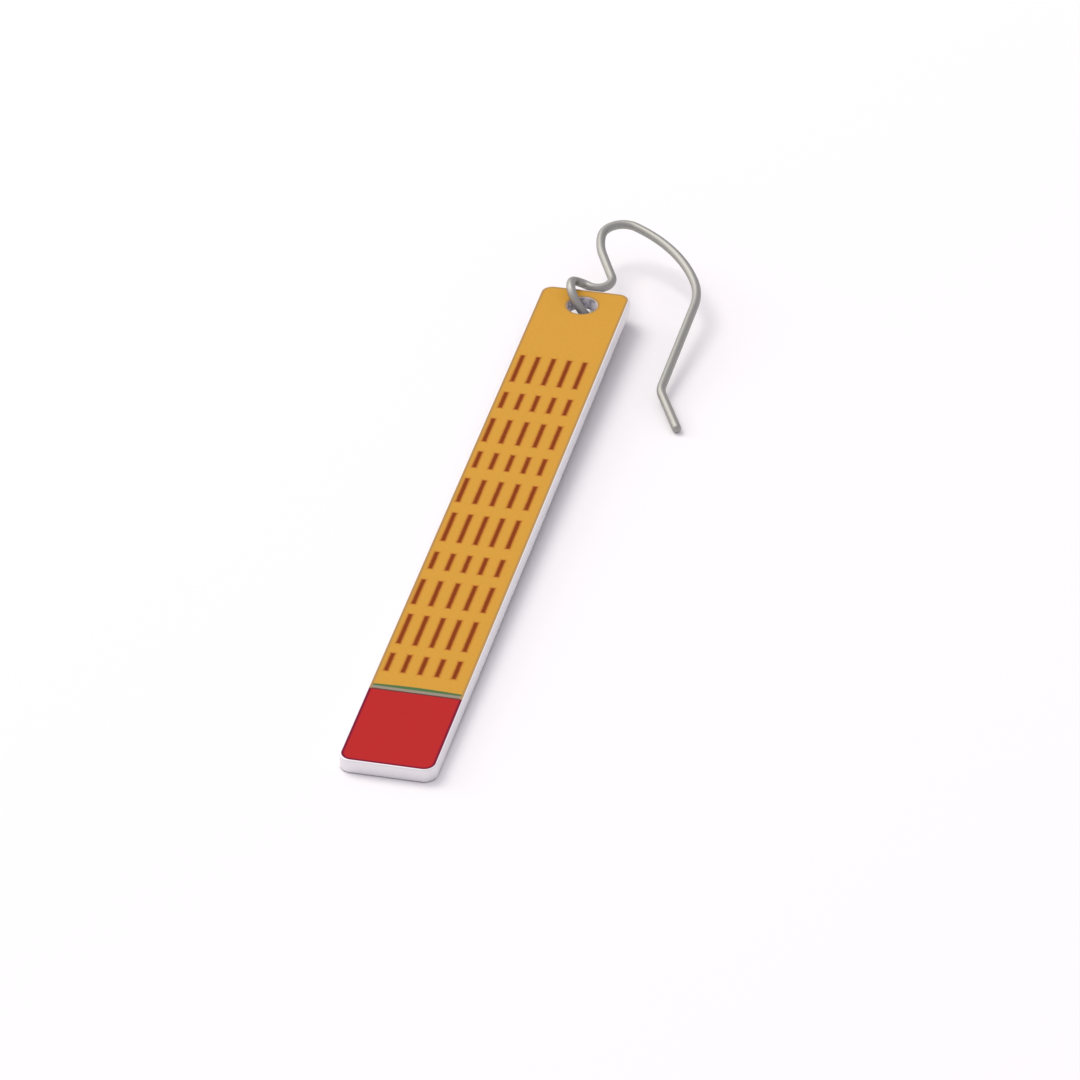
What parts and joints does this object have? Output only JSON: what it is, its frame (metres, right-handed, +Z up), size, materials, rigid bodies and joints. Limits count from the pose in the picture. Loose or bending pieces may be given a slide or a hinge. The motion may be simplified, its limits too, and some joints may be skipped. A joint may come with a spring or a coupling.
{
  "type": "drop earring",
  "caption": "Long flat bar with rounded corners and a drilled hole near one end, held by the small loop of a bent wire ear hook.",
  "frame": {"origin": "middle of the earring as it lies, on the surface below it", "axes": "+Y from the bar's free end towards the hook's arch, +Z up from the surface, +X to the side on which the hook lies"},
  "size_m": [0.016, 0.0803, 0.0039],
  "materials": {
    "printed_bar": "satin print on the top face, bare brushed metal edges",
    "hook_wire": "smooth drawn wire"
  },
  "bodies": {
    "root": {"bar": "printed_bar", "ear_hook": "hook_wire"}
  },
  "joints": []
}
